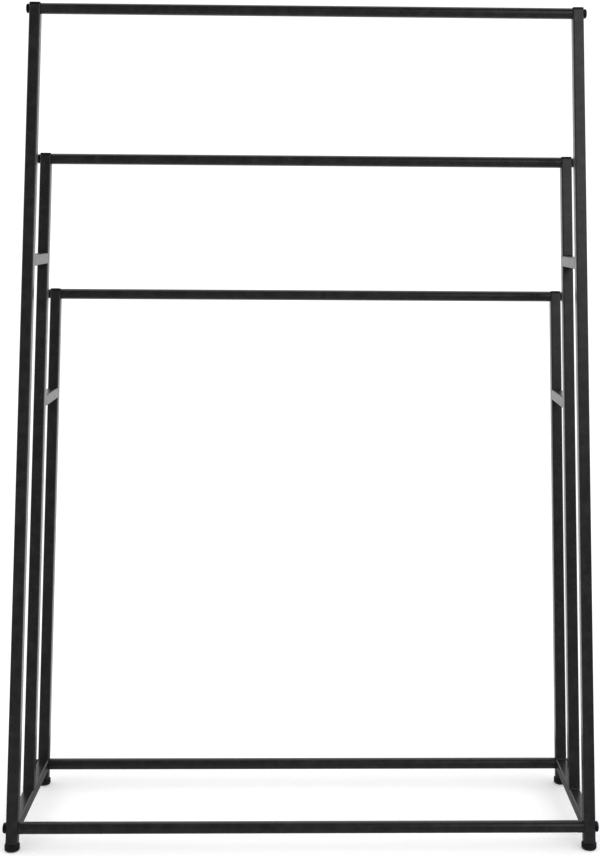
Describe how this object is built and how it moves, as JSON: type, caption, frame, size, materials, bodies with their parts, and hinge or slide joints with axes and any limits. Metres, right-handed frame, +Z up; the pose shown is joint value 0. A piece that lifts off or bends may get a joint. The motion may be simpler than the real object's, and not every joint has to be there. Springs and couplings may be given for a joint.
{
  "type": "free-standing towel rack",
  "caption": "Free-standing tiered towel rack: round bars between leaning side frames of square steel tube, satin black, on round feet.",
  "frame": {"origin": "centre of the footprint box, on the floor under the feet", "axes": "+Z up, +X to the right along the bars seen from the front, +Y to the back, where the low bar is"},
  "size_m": [0.6072, 0.2573, 0.8752],
  "materials": {
    "powder_coat": "satin black powder coat",
    "black_screw": "black oxide",
    "zinc_steel": "zinc plated",
    "cap_plastic": "fine matt grain",
    "foot_rubber": "matt"
  },
  "bodies": {
    "root": {"left_front_post": "powder_coat", "left_front_cap": "cap_plastic", "left_front_foot": "foot_rubber", "left_middle_post": "powder_coat", "left_middle_cap": "cap_plastic", "left_rear_post": "powder_coat", "left_rear_cap": "cap_plastic", "left_rear_foot": "foot_rubber", "left_base_rail": "powder_coat", "left_upper_brace": "powder_coat", "left_lower_brace": "powder_coat", "right_front_post": "powder_coat", "right_front_cap": "cap_plastic", "right_front_foot": "foot_rubber", "right_middle_post": "powder_coat", "right_middle_cap": "cap_plastic", "right_rear_post": "powder_coat", "right_rear_cap": "cap_plastic", "right_rear_foot": "foot_rubber", "right_base_rail": "powder_coat", "right_upper_brace": "powder_coat", "right_lower_brace": "powder_coat", "top_bar": "powder_coat", "top_bar_left_insert": "zinc_steel", "top_bar_left_screw": "black_screw", "top_bar_right_insert": "zinc_steel", "top_bar_right_screw": "black_screw", "middle_bar": "powder_coat", "middle_bar_left_insert": "zinc_steel", "middle_bar_left_screw": "black_screw", "middle_bar_right_insert": "zinc_steel", "middle_bar_right_screw": "black_screw", "low_bar": "powder_coat", "low_bar_left_insert": "zinc_steel", "low_bar_left_screw": "black_screw", "low_bar_right_insert": "zinc_steel", "low_bar_right_screw": "black_screw", "front_bottom_bar": "powder_coat", "front_bottom_bar_left_insert": "zinc_steel", "front_bottom_bar_left_screw": "black_screw", "front_bottom_bar_right_insert": "zinc_steel", "front_bottom_bar_right_screw": "black_screw", "rear_bottom_bar": "powder_coat", "rear_bottom_bar_left_insert": "zinc_steel", "rear_bottom_bar_left_screw": "black_screw", "rear_bottom_bar_right_insert": "zinc_steel", "rear_bottom_bar_right_screw": "black_screw"}
  },
  "joints": []
}
